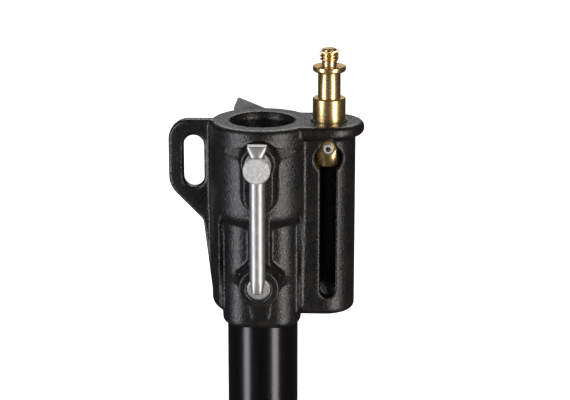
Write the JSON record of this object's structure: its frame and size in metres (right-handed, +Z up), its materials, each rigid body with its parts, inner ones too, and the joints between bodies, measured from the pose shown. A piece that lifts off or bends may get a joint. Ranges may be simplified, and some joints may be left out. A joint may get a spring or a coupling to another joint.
{
  "type": "lighting stand head",
  "caption": "Cast head on a tube: top socket with a T-bar clamp screw, retractable brass stud in a slotted housing, lock knob and safety-cord loop.",
  "frame": {"origin": "centre of the column tube's lower end, where the rest of the stand carries it", "axes": "+Z up the column, +X from the column towards the stud, -Y towards the T-bar clamp screw"},
  "size_m": [0.0955, 0.1063, 0.2054],
  "materials": {
    "cast_paint": "fine-textured black powder coat on die-cast aluminium",
    "tube_paint": "smooth semi-gloss black",
    "zinc": "zinc-plated steel",
    "nickel": "bright plated steel",
    "brass": "turned brass",
    "pad_brass": "plain brass",
    "knob_plastic": "textured black nylon",
    "plug_plastic": "black plastic"
  },
  "bodies": {
    "head": {"head_casting": "cast_paint", "column_tube": "tube_paint", "column_plug": "plug_plastic", "column_bolt": "zinc", "bolt_washer_front": "zinc", "bolt_washer_back": "zinc", "column_nut": "zinc", "clamp_insert": "pad_brass", "lock_insert": "pad_brass"},
    "clamp_pad_body": {"clamp_pad": "pad_brass"},
    "clamp_screw_body": {"clamp_screw": "nickel", "clamp_pad_ring": "zinc"},
    "bar_body": {"tommy_bar": "nickel"},
    "stud_body": {"stud": "brass", "stud_pin": "nickel", "stud_pin_sleeve": "pad_brass"},
    "lock_pad_body": {"lock_pad": "pad_brass"},
    "knob_body": {"lock_knob": "knob_plastic", "lock_knob_cap": "knob_plastic", "lock_screw": "zinc", "lock_pad_ring": "zinc"}
  },
  "joints": [
    {"name": "clamp_pad_slide", "type": "slide", "parent": "head", "child": "clamp_pad_body", "axis": [0, 1, 0], "range_m": [0, 0.0022]},
    {"name": "clamp_screw_turn", "type": "hinge", "parent": "clamp_pad_body", "child": "clamp_screw_body", "pos_m": [0, -0.04, 0.1562], "axis": [0, 1, 0], "range_deg": [0, 528]},
    {"name": "bar_slide", "type": "slide", "parent": "clamp_screw_body", "child": "bar_body", "axis": [0, 0, 1], "range_m": [0, 0.0483]},
    {"name": "stud_slide", "type": "slide", "parent": "head", "child": "stud_body", "axis": [0, 0, 1], "range_m": [-0.072, 0]},
    {"name": "lock_pad_slide", "type": "slide", "parent": "head", "child": "lock_pad_body", "axis": [-0.4384, 0.8988, 0], "range_m": [0, 0.002]},
    {"name": "lock_knob_turn", "type": "hinge", "parent": "lock_pad_body", "child": "knob_body", "pos_m": [0.01496, 0.03595, 0.157], "axis": [-0.4384, 0.8988, 0], "range_deg": [0, 576]}
  ],
  "couplings": [
    {"joint": "clamp_pad_slide", "follows": "clamp_screw_turn", "m_per_rad": 0.00023868},
    {"joint": "lock_pad_slide", "follows": "lock_knob_turn", "m_per_rad": 0.00019889}
  ]
}
